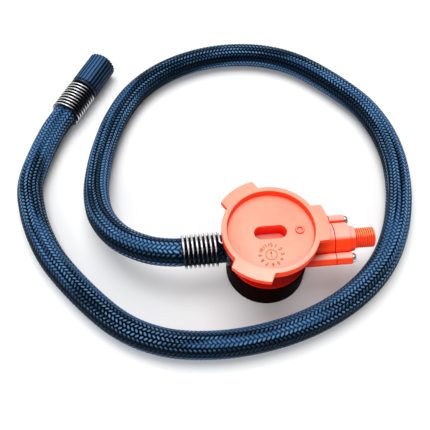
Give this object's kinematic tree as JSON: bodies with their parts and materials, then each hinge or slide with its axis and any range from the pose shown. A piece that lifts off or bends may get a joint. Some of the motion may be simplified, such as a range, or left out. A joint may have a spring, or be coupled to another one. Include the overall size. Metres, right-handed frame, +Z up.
{
  "type": "bottle valve head with filling hose",
  "caption": "Plastic bottle valve head with an air inlet nipple and a braided hose that ends in a screw-on tyre valve nut.",
  "frame": {"origin": "on the surface that the head stands on, under the middle of the head with its hose barb and without the hose", "axes": "+X along the ports towards the air inlet nipple, +Z up along the head's axis, out of the dished top plate"},
  "size_m": [0.1699, 0.1585, 0.0325],
  "materials": {
    "orange_plastic": "satin moulded orange plastic",
    "dark_plastic": "satin moulded plastic, almost black with a maroon cast",
    "zinc_steel": "bright zinc plate",
    "spring_steel": "bright drawn wire",
    "dark_steel": "blackened steel",
    "brass": "turned brass",
    "seal_rubber": "matt black rubber",
    "braided_hose": "blue-black textile braid over a rubber tube",
    "nut_plastic": "satin black moulded plastic with ribs",
    "pale_nylon": "natural nylon"
  },
  "bodies": {
    "valve_head": {"valve_body": "orange_plastic", "inlet_cap": "orange_plastic", "inlet_screw_front": "zinc_steel", "inlet_screw_back": "zinc_steel", "inlet_seal": "seal_rubber", "poppet_spring": "spring_steel", "check_plug": "pale_nylon", "collar_retainer": "pale_nylon", "neck_seal": "seal_rubber", "outlet_barb": "brass", "outlet_seal": "seal_rubber", "near_ferrule": "dark_steel", "near_spring": "spring_steel", "hose": "braided_hose", "far_ferrule": "dark_steel", "far_spring": "spring_steel", "connector_stem": "brass", "nut_clip": "spring_steel", "nut_seal": "seal_rubber", "depressor_pin": "brass"},
    "collar": {"screw_collar": "dark_plastic"},
    "poppet": {"check_poppet": "brass", "poppet_seal": "seal_rubber"},
    "nut": {"valve_nut": "nut_plastic"}
  },
  "joints": [
    {"name": "collar_turn", "type": "hinge", "parent": "valve_head", "child": "collar", "pos_m": [-0.0058, 0, 0.0063], "axis": [0, 0, 1], "continuous": true},
    {"name": "nut_turn", "type": "hinge", "parent": "valve_head", "child": "nut", "pos_m": [-0.071, 0.1141, 0.0068], "axis": [0.4848, 0.8746, 0], "continuous": true},
    {"name": "poppet_slide", "type": "slide", "parent": "valve_head", "child": "poppet", "axis": [0, 0, -1], "range_m": [0, 0.0012], "stiffness_N_per_m": 120, "springref_m": -0.001, "deforming": ["poppet_spring"]}
  ]
}
